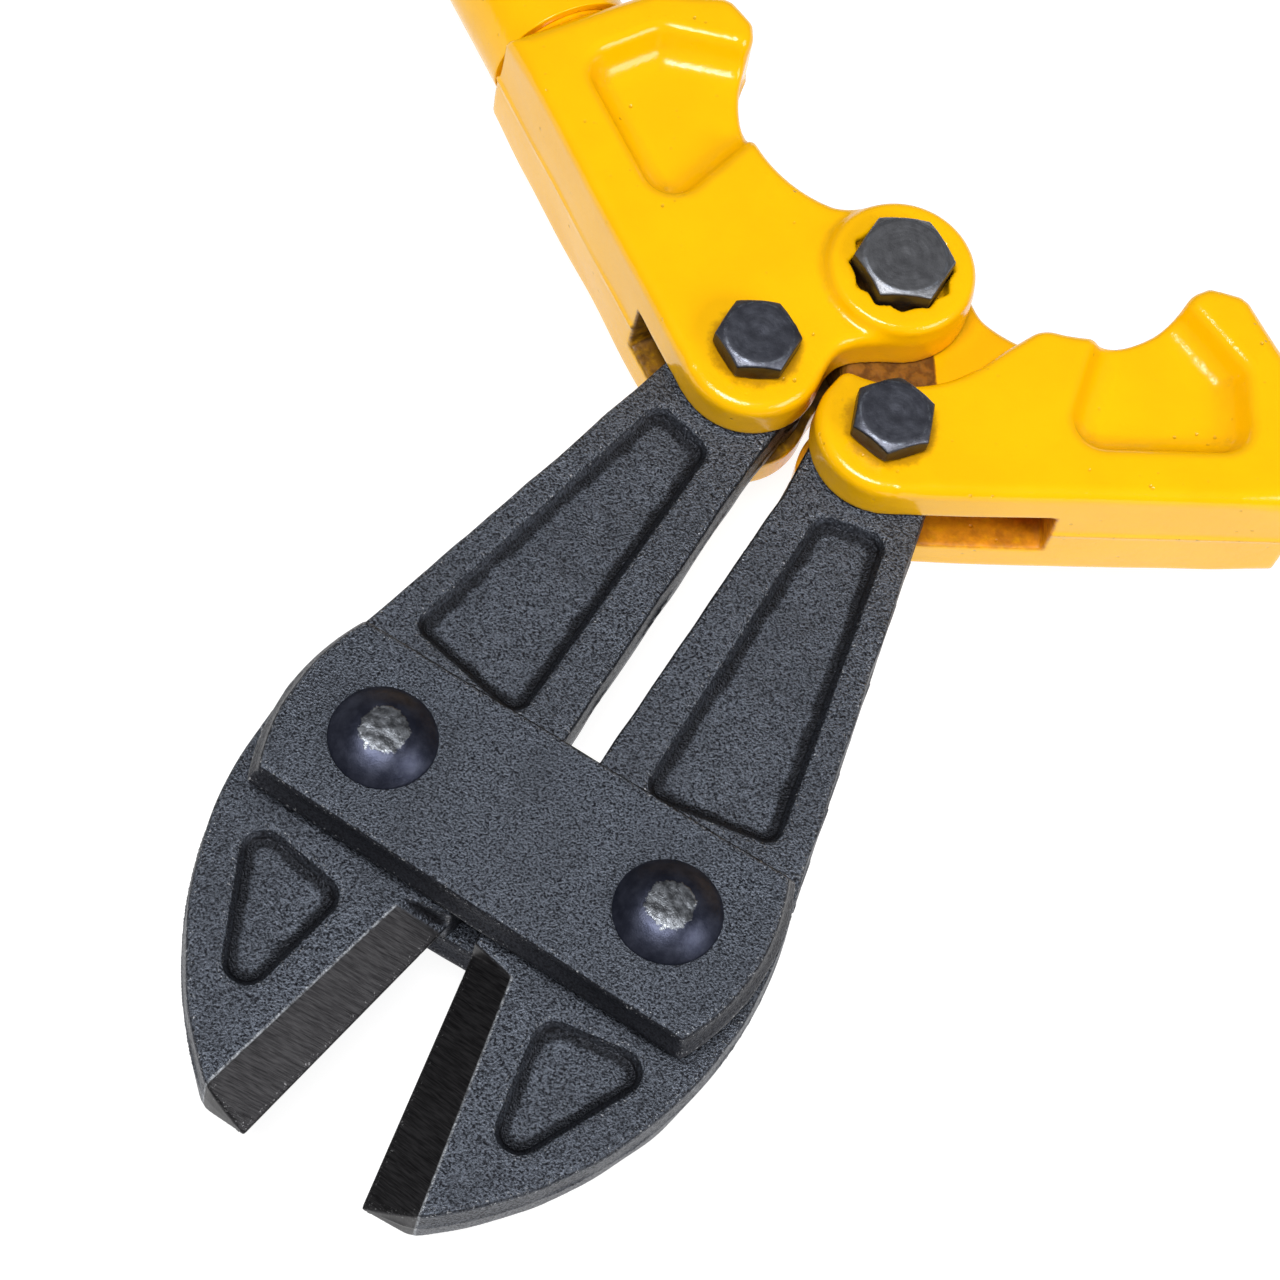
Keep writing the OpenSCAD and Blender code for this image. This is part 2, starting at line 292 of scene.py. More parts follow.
def floorMaterial(s):
    mat = bpy.data.materials.new("paleFloor")
    mat.use_nodes = True
    shader = mat.node_tree.nodes["Principled BSDF"]
    shader.inputs["Base Color"].default_value = (*(s["floorAlbedo"] * c for c in s["floorColour"]), 1)
    shader.inputs["Roughness"].default_value = s["floorRoughness"]
    shader.inputs["Emission Color"].default_value = (*s["floorColour"], 1)
    shader.inputs["Emission Strength"].default_value = s["floorGlow"]
    return mat


stageSettings = {
    "floorColour": (0.86, 0.86, 0.86),
    "floorAlbedo": 0.3,  # how much of the colour takes light; the rest is its own glow
    "floorRoughness": 0.9,
    "floorGlow": 1.05,
    "floorDrop": 0.5 * mm,  # clear of the lowest thread
    "aim": (0, -0.05, 0.03),
    "overheadBox": ((-0.08, -0.42, 1.25), (0.62, 0.36), 16.5),  # place, size and power
    "rightBox": ((0.85, -0.1, 0.65), (0.5, 0.4), 4.5),
    "roomLight": 0.13,
}


def makeStage(s):
    bm = bmesh.new()
    bmesh.ops.create_grid(bm, x_segments=1, y_segments=1, size=3)
    mesh = bpy.data.meshes.new("floor")
    bm.to_mesh(mesh)
    bm.free()
    floor = newObject("floor", mesh)
    mesh.transform(Matrix.Translation((0, 0, -s["floorDrop"])))
    mesh.materials.append(floorMaterial(s))
    for name in ("overheadBox", "rightBox"):
        place, size, power = s[name]
        softbox(name, place, s["aim"], size, power)
    world = bpy.data.worlds.new("room")
    bpy.context.scene.world = world
    world.use_nodes = True
    room = world.node_tree.nodes["Background"]
    room.inputs["Color"].default_value = (1, 1, 1, 1)
    room.inputs["Strength"].default_value = s["roomLight"]
    bpy.context.scene.view_settings.view_transform = "Standard"


makeCamera(cameraSettings)
makeStage(stageSettings)
print("camera, floor and light ready")


# shader maths
class Wire:
    # one socket; adding, multiplying and so on adds Math nodes
    def __init__(self, recipe, socket):
        self.recipe, self.socket = recipe, socket

    def sum(self, kind, *others):
        return self.recipe.node("ShaderNodeMath", {"operation": kind}, dict(enumerate((self, *others))))

    def __add__(self, other):
        return self.sum("ADD", other)

    def __sub__(self, other):
        return self.sum("SUBTRACT", other)

    def __rsub__(self, other):
        return self.sum("MULTIPLY_ADD", -1.0, other)

    def __mul__(self, other):
        return self.sum("MULTIPLY", other)

    def __pow__(self, other):
        return self.sum("POWER", other)

    def size(self):
        return self.sum("ABSOLUTE")

    def step(self, low, high):
        # smooth 0 to 1 between two values
        ends = {"Value": self, "From Min": low, "From Max": high}
        return self.recipe.node("ShaderNodeMapRange", {"interpolation_type": "SMOOTHSTEP"}, ends)


class Recipe:
    # builds one material
    def __init__(self, name):
        self.material = bpy.data.materials.new(name)
        self.material.use_nodes = True
        self.tree = self.material.node_tree
        self.shader = self.tree.nodes["Principled BSDF"]

    def node(self, kind, settings=None, sockets=None, out=0):
        n = self.tree.nodes.new(kind)
        for key, value in (settings or {}).items():
            setattr(n, key, value)
        for key, value in (sockets or {}).items():
            self.feed(n.inputs[key], value)
        return Wire(self, n.outputs[out])

    def feed(self, socket, value):
        if isinstance(value, Wire):
            self.tree.links.new(value.socket, socket)
        elif isinstance(value, (tuple, list)) and len(value) == 3 and socket.type == "RGBA":
            socket.default_value = (*value, 1)
        else:
            socket.default_value = value

    def local(self):
        return self.node("ShaderNodeAttribute", {"attribute_name": "local"}, out="Vector")

    def mark(self, label):
        return self.node("ShaderNodeAttribute", {"attribute_name": label}, out="Fac")

    def noise(self, where, scale, detail=2.0, roughness=0.5, distortion=0.0):
        sockets = {"Vector": where, "Scale": scale, "Detail": detail, "Roughness": roughness,
                   "Distortion": distortion}
        return self.node("ShaderNodeTexNoise", None, sockets, "Fac")

    def cells(self, where, scale, kind="F1"):
        sockets = {"Vector": where, "Scale": scale}
        return self.node("ShaderNodeTexVoronoi", {"feature": kind}, sockets, "Distance")

    def mapped(self, where, turn=(0, 0, 0), size=(1, 1, 1), shift=(0, 0, 0)):
        angles = tuple(math.radians(a) for a in turn)
        sockets = {"Vector": where, "Rotation": angles, "Scale": size, "Location": shift}
        return self.node("ShaderNodeMapping", None, sockets)

    def parts(self, where):
        n = self.tree.nodes.new("ShaderNodeSeparateXYZ")
        self.tree.links.new(where.socket, n.inputs[0])
        return [Wire(self, n.outputs[k]) for k in range(3)]

    def mix(self, share, a, b, kind="RGBA"):
        n = self.tree.nodes.new("ShaderNodeMix")
        n.data_type = kind
        for key, value in (("Factor", share), ("A", a), ("B", b)):
            socket = [s for s in n.inputs if s.name == key and s.enabled][0]
            self.feed(socket, value)
        return Wire(self, [s for s in n.outputs if s.enabled][0])

    def blend(self, share, a, b):
        # numbers, not colours
        return a + (b - a) * share if isinstance(a, Wire) else share * (b - a) + a

    def bump(self, height, distance, strength=1.0):
        sockets = {"Height": height, "Distance": distance, "Strength": strength}
        return self.node("ShaderNodeBump", None, sockets, "Normal")

    def done(self, **inputs):
        for key, value in inputs.items():
            self.feed(self.shader.inputs[key.replace("_", " ")], value)
        return self.material


def yellowEnamel(name, seed, slotColoursShaded):
    # glossy enamel on rough castings: orange peel, pinholes, dirt and painted shade in the corners;
    # the last argument is the pair of colours of the oily faces inside the slots, darkened as painted shade
    r = Recipe(name)
    at = r.mapped(r.local(), shift=(seed, 2 * seed, 0))
    x, y, z = r.parts(r.local())
    relief = r.mark("relief")
    peel = r.noise(at, 0.9, 2.0)
    drift = r.noise(at, 0.09, 3.0, 0.6)
    speck = r.cells(at, 0.42)
    specks = (1 - speck.step(0.05, 0.16)) * r.noise(at, 0.16, 1.0).step(0.5, 0.66)
    hollow = (0 - relief).step(0.05, 0.34)
    grime = hollow * r.noise(at, 0.7, 4.0, 0.7).step(0.36, 0.75)
    colour = r.mix(drift.step(0.3, 0.7), (0.93, 0.475, 0.0003), (0.97, 0.505, 0.0003))
    # painted shade: hollows and corners turn a deeper orange
    colour = r.mix(hollow * 0.5, colour, (0.84, 0.40, 0.0))
    colour = r.mix(grime * 0.45, colour, (0.30, 0.14, 0.01))
    colour = r.mix(specks * 0.5, colour, (0.45, 0.25, 0.02))
    # the flash line along the parting plane
    offPlane = (z + r.noise(at, 0.5, 2.0) * 0.3 - 0.15).size()
    seam = r.mark("steep").step(0.6, 0.8) * (1 - offPlane.step(0.18, 0.42))
    colour = r.mix(seam * 0.8, colour, (0.80, 0.42, 0.0))
    seamDirt = seam * r.noise(at, 0.8, 3.0, 0.7).step(0.58, 0.7)
    colour = r.mix(seamDirt * 0.7, colour, (0.12, 0.06, 0.01))
    height = peel * 0.28 + drift * 0.5 - specks * 0.8 + r.noise(at, 2.4, 3.0, 0.6) * 0.12
    # faces inside the slots, thinly sprayed and oily; their darkness is painted shade, deeper on the left
    # head
    milled = 1 - (r.mark("cut") + r.noise(at, 0.9, 3.0) * 0.5).step(0.35, 0.85)
    streaks = r.noise(r.mapped(r.local(), size=(1.0, 1.0, 5.0)), 0.45, 3.0, 0.6)
    colour = r.mix(milled, colour, r.mix(streaks.step(0.3, 0.7), slotColoursShaded[0], slotColoursShaded[1]))
    # painted shade under the boss: cut faces round the main pivot go dark brown
    away = ((x - float(mainLocal[0])) ** 2 + (y - float(mainLocal[1])) ** 2) ** 0.5
    inFork = milled * (1 - away.step(17.6, 19.0))
    forkShade = r.mix(streaks.step(0.4, 0.6), (0.03, 0.012, 0.002), (0.13, 0.055, 0.008))
    colour = r.mix(inFork * 0.8, colour, forkShade)
    height = height + milled * streaks
    rough = drift * 0.08 + 0.12 + grime * 0.35 + milled * 0.3
    # dirt round the bolt's head, with painted contact shade
    around = ((x * x + y * y) ** 0.5) + r.noise(at, 0.7, 4.0, 0.7) * 2.4
    boltGrimeAndShade = (1 - around.step(7.0, 8.6)) * z.step(11.0, 11.4)
    colour = r.mix(boltGrimeAndShade * 0.6, colour, (0.24, 0.09, 0.004))
    r.feed(r.shader.inputs["Specular IOR Level"], 0.42)
    return r.done(Base_Color=colour, Roughness=rough, Normal=r.bump(height, 0.16 * mm))


def forgedSteel(name, seed=0.0, ground=None, wallShade=0.6):
    # blackened, shot-blasted forging; ground, if given, is the place of the ground bevel
    r = Recipe(name)
    at = r.mapped(r.local(), shift=(seed, -seed, 0))
    relief = r.mark("relief")
    wall = r.mark("steep").step(0.16, 0.27)
    grainFine = r.noise(at, 3.2, 2.0, 0.6)
    grainCell = r.cells(at, 2.8, "SMOOTH_F1")
    cloud = r.noise(at, 0.12, 3.0, 0.6)
    hollow = (0 - relief).step(0.03, 0.16)
    proud = relief.step(0.075, 0.14)
    flecks = r.noise(at, 2.0, 4.0, 0.75).step(0.58, 0.68)
    grain = grainFine * 1.3 - grainCell * 0.55
    tone = grain.step(0.14, 0.58)
    colour = r.mix(tone, (0.015, 0.016, 0.021), (0.142, 0.160, 0.197))
    colour = r.mix(cloud.step(0.35, 0.65) * 0.3, colour, (0.055, 0.060, 0.072))
    # painted shade: steep side walls darkened
    colour = r.mix(wall * wallShade, colour, (0.014, 0.014, 0.018))
    # painted shade in hollows and corners
    colour = r.mix(hollow * 0.8, colour, (0.008, 0.008, 0.010))
    colour = r.mix(proud * flecks * 0.85, colour, (0.55, 0.56, 0.58))
    height = grain * (1 - wall * 0.65)
    rough = r.blend(tone, 0.55, 0.38)
    normal = r.bump(height, 0.26 * mm)
    if ground:
        x, y, z = r.parts(r.local())
        x = x + (y - ground["tip"]) * ground["taper"]
        end, back = ground["end"], ground["back"]
        behind = y + x * ground["backSlant"]
        onBevel = (1 - x.step(end - 0.16, end + 0.1)) * (1 - behind.step(back - 0.3, back + 0.2))
        lines = r.mapped(r.local(), turn=(0, 0, ground["slant"]))
        bands = r.noise(r.mapped(lines, size=(0.30, 3.4, 0.3)), 1.0, 2.0, 0.55, 0.3)
        fine = r.noise(r.mapped(lines, size=(0.5, 7.5, 0.5)), 1.0, 2.0, 0.6, 0.2)
        nicks = r.noise(r.local(), 3.5, 3.0).step(0.63, 0.72)
        streaks = (bands * 0.55 + fine * 0.45).step(0.32, 0.7)
        groundColour = r.mix(streaks, (0.012, 0.0115, 0.013), (0.050, 0.049, 0.052))
        groundColour = r.mix(nicks * 0.3, groundColour, (0.02, 0.02, 0.02))
        groundColour = r.mix(proud * flecks * 0.7, groundColour, (0.34, 0.34, 0.35))
        colour = r.mix(onBevel, colour, groundColour)
        # the bright line where the bevel meets the skin, a painted highlight broken by noise
        arris = (1 - (x - end).size().step(0.08, 0.26)) * (1 - behind.step(back - 0.4, back))
        arrisGlintBreaks = r.noise(r.local(), 0.9, 4.0, 0.7).step(0.35, 0.62)
        colour = r.mix(arris * arrisGlintBreaks * 0.75, colour, (0.40, 0.42, 0.45))
        rough = r.blend(onBevel, rough, bands * 0.12 + 0.4)
        normal = r.mix(onBevel, normal, r.bump(bands * 0.8 + fine * 0.5, 0.07 * mm, 0.8), "VECTOR")
    return r.done(Base_Color=colour, Roughness=rough, Metallic=0.85, Normal=normal)


def blackSteel(name, tint, worn=0.0, rim=0.0):
    # oiled black fasteners; worn is the radius of a rubbed bright middle,
    # rim the radius of a bolt head's painted highlight ring
    r = Recipe(name)
    at = r.local()
    x, y, z = r.parts(at)
    radius = (x * x + y * y) ** 0.5
    cloud = r.noise(at, 0.5, 4.0, 0.6)
    colour = r.mix(cloud.step(0.3, 0.72), *tint)
    height = r.noise(at, 4.5, 3.0, 0.6) * 0.35 + cloud * 0.1
    if rim:
        proud = r.mark("relief").step(0.13, 0.2) * r.noise(at, 1.6, 4.0, 0.7).step(0.42, 0.62)
        colour = r.mix(proud * 0.15, colour, (0.30, 0.31, 0.34))
        turning = (radius * 9.0 + cloud * 1.2).sum("SINE")
        height = height + turning * 0.03
        # painted highlight: a bright ring on the chamfer's border, broken by noise
        edge = (1 - (radius - rim).size().step(0.08, 0.24)) * z.step(14.6, 15.0)
        rimGlintBreaks = r.noise(at, 0.6, 3.0, 0.7).step(0.42, 0.62)
        colour = r.mix(edge * rimGlintBreaks * 0.6, colour, (0.30, 0.33, 0.39))
        # painted shade on the head's sides
        side = r.mark("steep").step(0.3, 0.7)
        colour = r.mix(side * 0.75, colour, (0.016, 0.015, 0.018))
        # painted reflection of the yellow castings low on the head's sides
        castingReflection = side * (1 - z.step(12.6, 15.0)) * z.step(9.0, 10.0)
        colour = r.mix(castingReflection * r.noise(at, 0.6, 4.0, 0.7).step(0.3, 0.6) * 0.7, colour, (0.045, 0.017, 0.003))
    rough = cloud * 0.16 + (0.32 if worn else 0.34)
    if worn:
        edge = radius + r.noise(at, 0.75, 3.0, 0.7) * 2.2
        onHead = z.size().step(8.0, 9.0)
        rub = (1 - edge.step(worn + 1.0, worn + 1.35)) * onHead
        scuff = r.noise(at, 1.0, 4.0, 0.62)
        bright = r.mix(scuff.step(0.35, 0.68), (0.085, 0.09, 0.10), (0.225, 0.24, 0.265))
        colour = r.mix(rub, colour, bright)
        ringMark = edge.step(worn + 0.75, worn + 1.1) * (1 - edge.step(worn + 1.15, worn + 1.4)) * onHead
        broken = r.noise(at, 0.5, 2.0).step(0.45, 0.6)
        colour = r.mix(ringMark * broken * 0.5, colour, (0.45, 0.48, 0.52))
        rough = r.blend(rub, rough, scuff * 0.3 + 0.24)
        height = height + rub * scuff * 1.2
    return r.done(Base_Color=colour, Roughness=rough, Metallic=0.9, Normal=r.bump(height, 0.09 * mm))


def gripRubber(name):
    r = Recipe(name)
    at = r.local()
    fine = r.noise(at, 2.2, 4.0, 0.65)
    cloud = r.noise(at, 0.06, 3.0)
    dust = r.noise(at, 0.35, 5.0, 0.7).step(0.52, 0.75)
    colour = r.mix(cloud.step(0.3, 0.7), (0.011, 0.011, 0.012), (0.021, 0.021, 0.022))
    colour = r.mix(dust * 0.35, colour, (0.055, 0.052, 0.048))
    return r.done(Base_Color=colour, Roughness=fine * 0.2 + 0.5, Normal=r.bump(fine, 0.1 * mm))


# the ground blade, in a jaw's own mm
bladeSettings = {
    "edgeX": -22.35,
    "length": 50.4,
    "bevel": 7.6,
    "taper": 0.034,
    "back": -14.0,
    "backSlant": 0.4,
    "grindAngle": 24,
}


def bevelPlace(s):
    # what the jaws' material needs to know of the bevel
    return {"end": s["edgeX"] + s["bevel"] + 0.05, "taper": s["taper"], "tip": -s["length"],
            "back": s["back"] + s["backSlant"] * (s["bevel"] + s["edgeX"]), "backSlant": s["backSlant"],
            "slant": s["grindAngle"]}


materials = {
    # the left head's slot faces get darker colours than the right's, as painted shade
    "enamelLeft": yellowEnamel("yellowEnamelLeft", 3.0, ((0.09, 0.034, 0.002), (0.28, 0.12, 0.004))),
    "enamelRight": yellowEnamel("yellowEnamelRight", 41.0, ((0.46, 0.15, 0.002), (0.74, 0.27, 0.003))),
    "jaw": forgedSteel("forgedJawSteel", 0.0, bevelPlace(bladeSettings)),
    "strap": forgedSteel("forgedStrapSteel", 17.0, wallShade=0.85),
    "bolt": blackSteel("blackBoltSteel", ((0.085, 0.089, 0.113), (0.125, 0.132, 0.163)), rim=5.0),
    "mainBolt": blackSteel("blackMainBoltSteel", ((0.165, 0.168, 0.182), (0.215, 0.220, 0.238)), rim=6.0),
    "rivet": blackSteel("blackRivetSteel", ((0.030, 0.034, 0.056), (0.060, 0.066, 0.098)), worn=3.3),
    "grip": gripRubber("blackGripRubber"),
}
print("materials made")


def finished(obj, material, body, slot, *nodes):
    obj.data.materials.clear()
    obj.data.materials.append(materials[material])
    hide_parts(*nodes)
    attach(obj, body)
    return obj


# handle heads
headSettings = {
    "step": 0.42,
    "halfHeight": 11.7,
    "lobeRadius": 10.9,
    "earRadius": 11.35,
    "bossTop": 13.5,
    "swingRadius": 18.3,
    "forkRadius": 18.9,
    "tongueHalf": 4.7,
    "slotHalf": 4.8,
    "armSlotRadius": 10.4,
    "armSlotEnd": (14.5, 25.0),  # left and right
    "length": 61.0,
    "edgeRound": 1.9,
    "draft": 0.022,
    "flash": (0.38, 0.36),  # how far it stands out, and its half width
    "notch": (31, 36.4, 20),  # centre and radius
    "pocket": ((31.8, 2.5), (48.6, 2.5), (48.8, 9.9), (41.6, 20), (38.2, 20)),
    "pocketDepth": 5.0,
    "pocketSlope": 0.55,
    "recessDepth": 3.0,
    "recessRadius": 7.8,
    "boltRadius": 4.5,
    "jawBoltRadius": 3.5,
    "spigot": (9.65, 57, 64),  # radius and ends, inside the tube
    "axis": 0.3,
}


def headField(b, s, side):
    mx, my = mainLocal[0], mainLocal[1]
    horn = [(20, 30), (48.2, 25), (49.6, 25.3), (54.4, 24.3), (55.8, 23.2), (s["length"], 13.4)]
    back = [(s["length"], -s["lobeRadius"]), (0, -s["lobeRadius"]), (-3, 0)]
    body = b.outline([(-5.2, 8), (-5.2, 17), (mx - 6, my), (mx + 4, my + 9)] + horn + back)
    neck = np.clip((3 - b.x) / 3, 0, 1) * np.clip((b.y - 2) / 3, 0, 1)
    body = joined(body, b.ring(0, 0, s["lobeRadius"]), 2.6 * neck + 1e-4)
    body = common(body, -b.ring(*s["notch"]), 1.9)
    neck = np.clip((mx - 1 - b.x) / 3, 0, 1) + np.clip((b.x - mx - 5) / 3, 0, 1)
    flat = joined(body, b.ring(mx, my, s["earRadius"]), 3.2 * neck + 1e-4)
    wob = b.waves(16, 5 + side)
    middle = np.abs(b.z - 0.15 * side)
    height, width = s["flash"]
    flash = height * np.exp(-(middle / width) ** 2) * (0.75 + 0.35 * wob)
    wall = flat + s["draft"] * middle - flash + 0.10 * wob
    wall = wall + 0.12 * (b.z > 0)  # the two halves of the mould don't quite meet
    toSocket = np.clip((b.x - 50) / 11, 0, 1)
    roundness = s["edgeRound"] + 1.4 * toSocket * toSocket * (3 - 2 * toSocket)
    solid = common(wall, np.abs(b.z) - s["halfHeight"] + 0.05 * b.waves(22, 9 + side), roundness)
    solid = common(solid, b.x - s["length"], 0.35)
    # pockets, open to the notch
    pocket = b.outline(roundedOutline(s["pocket"], 4.8))
    for up in (1, -1):
        deep = s["halfHeight"] - up * b.z
        sloped = (pocket + s["pocketSlope"] * (deep - 0.8)) / math.hypot(1, s["pocketSlope"])
        cutter = common(sloped, deep - s["pocketDepth"], 2.2)
        solid = cutAway(solid, cutter, 1.1)
    ringMain = b.ring(mx, my, 0)
    if side < 0:
        boss = common(ringMain - 11.4 + 0.03 * np.abs(b.z), np.abs(b.z) - s["bossTop"], 1.5)
        solid = joined(solid, boss, 1.1)
        solid = cutAway(solid, common(ringMain - s["forkRadius"], np.abs(b.z) - s["slotHalf"]), 0.35)
        star = np.inf
        angle = np.arctan2(b.y - my, b.x - mx) + handleTilt
        for k in range(2):
            a = (angle + k * math.pi / 6) % (math.pi / 3) - math.pi / 6
            star = np.minimum(star, ringMain * np.cos(a) - s["recessRadius"] * math.cos(math.pi / 6))
        star = star + 0.12 * b.waves(3.0, 77)
        solid = cutAway(solid, common(star, s["bossTop"] - s["recessDepth"] - b.z), 0.3)
        solid = cutAway(solid, ringMain - s["boltRadius"], 0.2)
    else:
        ahead = b.outline([(mx, my), (13.8, 10.6), (24.2, 17.5), (24.2, 34), (10, 34)])
        swing = joined(ringMain - s["swingRadius"], ahead, 1.0)
        for up in (1, -1):
            cutter = common(swing, s["tongueHalf"] - up * b.z, 2.6)
            solid = cutAway(solid, cutter, 1.6)
        solid = cutAway(solid, ringMain - s["boltRadius"] - 0.05, 0.2)
    # room for the jaw's arm and the open slot in the side
    radius, far = s["armSlotRadius"], 30
    slotEnd = s["armSlotEnd"][side > 0]
    room = b.outline([(0, radius), (-far, radius), (-far, -far), (slotEnd, -far), (slotEnd, -4),
                      (radius, -1)])
    room = np.minimum(room, b.ring(0, 0, radius))
    solid = cutAway(solid, common(room, np.abs(b.z) - s["slotHalf"], 0.9), 0.45)
    solid = cutAway(solid, b.ring(0, 0, s["jawBoltRadius"]), 0.2)
    # faces left by the cutters, for the paint
    slots = np.minimum(room, ringMain - (s["forkRadius"] if side < 0 else 0))
    cut = np.abs(np.maximum(np.abs(b.z) - s["slotHalf"], slots))
    if side > 0:
        tongue = np.maximum(np.abs(b.z) - 6.5, ringMain - s["swingRadius"] + 0.3)
        cut = np.minimum(cut, np.maximum(tongue, b.x - 8.5))
    # the spigot that the tube is pushed on
    radius, low, high = s["spigot"]
    spigot = np.maximum(np.hypot(b.y - s["axis"], b.z) - radius, np.maximum(low - b.x, b.x - high))
    return joined(solid, spigot, 0.2), cut


def makeHead(side, s):
    high = s["length"] + 4.2
    block = Block((-13.5, -13, -15.2), (high, 39, 15.2), s["step"])
    name = "rightHead" if side > 0 else "leftHead"
    field, cut = headField(block, s, side)
    obj = skinned(name, block, field, handleSeat(side), cut)
    body, node = ("right_handle", "right_handle_head") if side > 0 else ("left_handle", "left_handle_head")
    return finished(obj, "enamelRight" if side > 0 else "enamelLeft", body, "yellow_casting", node)


# jaws
jawSettings = {
    "step": 0.36,
    "half": 4.5,
    "land": 0.15,
    "backShift": 0.8,  # the two bevels end at different places
    "bladeArc": (-44.5, 2.7, 60.7),  # centre and radius of the blade's back
    "armEnd": (2.724, 82.155, 9.6),
    "bladePocket": ((-7, -33.7), (1.9, -20.8), (-7.1, -20.6)),
    "armPocket": ((-6.8, 20.4), (7.8, 20.6), (6.2, 66.6), (0.3, 66.2)),
    "pocketDepth": 1.5,
    "edgeRound": 0.55,
    "draft": 0.05,
    "flash": (0.30, 0.32),
    "slotEnd": -4.8,  # where the right jaw's slot ends
    "rivetHole": 5.05,
    "boltHole": 3.55,
}


def jawField(b, s, g, side):
    # g is the ground blade's dictionary
    ex, bl = g["edgeX"], g["length"]
    ax, ay, ar = s["armEnd"]
    tip = [(ex, -bl), (ex + g["bevel"], -bl + 0.2)]
    blade = b.outline(tip + [(40, -bl), (40, 12), (-19.7, 12), (-20.9, 10), (ex, 1.6)])
    blade = common(blade, b.ring(*s["bladeArc"]), 0.8)
    armInner = [(ax - ar, ay - 2), (-7.9, 70), (-12.8, 42), (-16.7, 20)]
    arm = b.outline([(-20.4, 11.9), (15.6, 11.9), (ax + ar - 0.1, ay - 4), (ax, ay)] + armInner)
    flat = joined(joined(blade, arm), b.ring(ax, ay, ar))
    nearEdge = np.clip((b.x - ex - 2) / 5, 0, 1)  # no draft or flash on the cutting edge
    wob = b.waves(9, 31 + side)
    middle = np.abs(b.z)
    height, width = s["flash"]
    flash = height * np.exp(-(middle / width) ** 2) * (0.7 + 0.5 * wob)
    wall = flat + nearEdge * (s["draft"] * middle - flash + 0.08 * wob) + 0.02
    solid = common(wall, middle - s["half"] + 0.03 * b.waves(14, 3 + side), s["edgeRound"])
    # ground bevels meet at the edge
    rise = (s["half"] - s["land"]) / (g["bevel"] - g["taper"] * (b.y + bl))
    slope = (middle - s["land"] - (b.x - ex) * rise) / np.hypot(1, rise)
    back = g["back"] - s["backShift"] * side
    behind = (b.y - back - g["backSlant"] * (g["bevel"] - (b.x - ex))) / math.hypot(1, g["backSlant"])
    solid = np.maximum(solid, np.minimum(slope, -behind))
    for outline, r in ((s["bladePocket"], 3.2), (s["armPocket"], 2.5)):
        pocket = b.outline(roundedOutline(outline, r))
        deep = s["half"] - middle
        sloped = (pocket + 0.95 * (deep - 0.35)) / 1.38
        cutter = common(sloped, deep - s["pocketDepth"] + 0.07 * b.waves(4.5, 60 + side), 0.4)
        solid = cutAway(solid, cutter, 0.3)
    hole = s["rivetHole"]
    solid = cutAway(solid, b.ring(0, 0, hole), 0.2)
    if side > 0:  # the bowed slot of the right jaw
        far = s["slotEnd"]
        bow = [(0, hole), (-1.4, 5.28), (-2.7, 5.48), (far, 5.58)]
        slot = joined(b.ring(far, 0.33, 5.15), b.outline([(0, -hole)] + bow + [(far, -hole)]))
        solid = cutAway(solid, slot)
    return cutAway(solid, b.ring(ax, ay, s["boltHole"]), 0.2)


def makeJaw(side, s):
    block = Block((-24.2, -52.5, -5.4), (17.8, 93, 5.4), s["step"])
    name = "rightJaw" if side > 0 else "leftJaw"
    obj = skinned(name, block, jawField(block, s, bladeSettings, side), jawSeat(side))
    node = "right_jaw" if side > 0 else "left_jaw"
    return finished(obj, "jaw", node, "forged_jaw", node)


# straps
strapSettings = {
    "step": 0.36,
    "low": 4.55,
    "thick": 7.0,
    "halfWidth": 38.0,
    "halfDepth": 15.0,
    "skew": 0.0236,  # slant of the front edge
    "arc": 34.8,
    "rivets": 22.5,
    "rivetRadius": 5.0,
    "edgeRound": 0.55,
}


def strapField(b, s, up):
    offset = s["halfWidth"] - s["arc"]
    arcs = np.hypot(np.maximum(np.abs(b.x) - offset, 0), b.y) - s["arc"]
    ends = np.maximum(b.y - s["halfDepth"], -s["halfDepth"] - b.y - s["skew"] * b.x)
    flat = common(arcs, ends, 0.45)
    centre = s["low"] + s["thick"] / 2
    middle = np.abs(b.z - centre)
    wob = b.waves(8, 90 + up)
    ridge = 0.75 * np.exp(-(middle / 1.5) ** 2) + 0.2 * np.exp(-(middle / 0.3) ** 2) * (0.6 + 0.5 * wob)
    wall = flat + 0.95 - ridge + 0.05 * wob + 0.12 * middle
    solid = common(wall, middle - s["thick"] / 2 + 0.025 * b.waves(11, 7 + up), s["edgeRound"])
    for side in (-1, 1):
        solid = cutAway(solid, b.ring(side * s["rivets"], 0, s["rivetRadius"]), 0.15)
    return solid


def makeStrap(up, s):
    block = Block((-39, -16, s["low"] - 0.9), (39, 16, s["low"] + s["thick"] + 0.9), s["step"])
    name = "topStrap" if up > 0 else "bottomStrap"
    seat = Seat((0, rivetCentre[1], rivetCentre[2]))
    obj = skinned(name, block, strapField(block, s, up), seat)
    if up < 0:  # turned over, not mirrored: half a turn about Y
        co = np.empty(len(obj.data.vertices) * 3, np.float32)
        obj.data.vertices.foreach_get("co", co)
        co = co.reshape(-1, 3)
        co[:, 0] *= -1
        co[:, 2] = 2 * rivetCentre[2] * mm - co[:, 2]
        obj.data.vertices.foreach_set("co", co.ravel())
        obj.data.update()
    return finished(obj, "strap", "straps", "forged_strap", "top_strap" if up > 0 else "bottom_strap")


for side in (-1, 1):
    makeHead(side, headSettings)
for side in (-1, 1):
    makeJaw(side, jawSettings)
for up in (1, -1):
    makeStrap(up, strapSettings)
print("castings and forgings made")


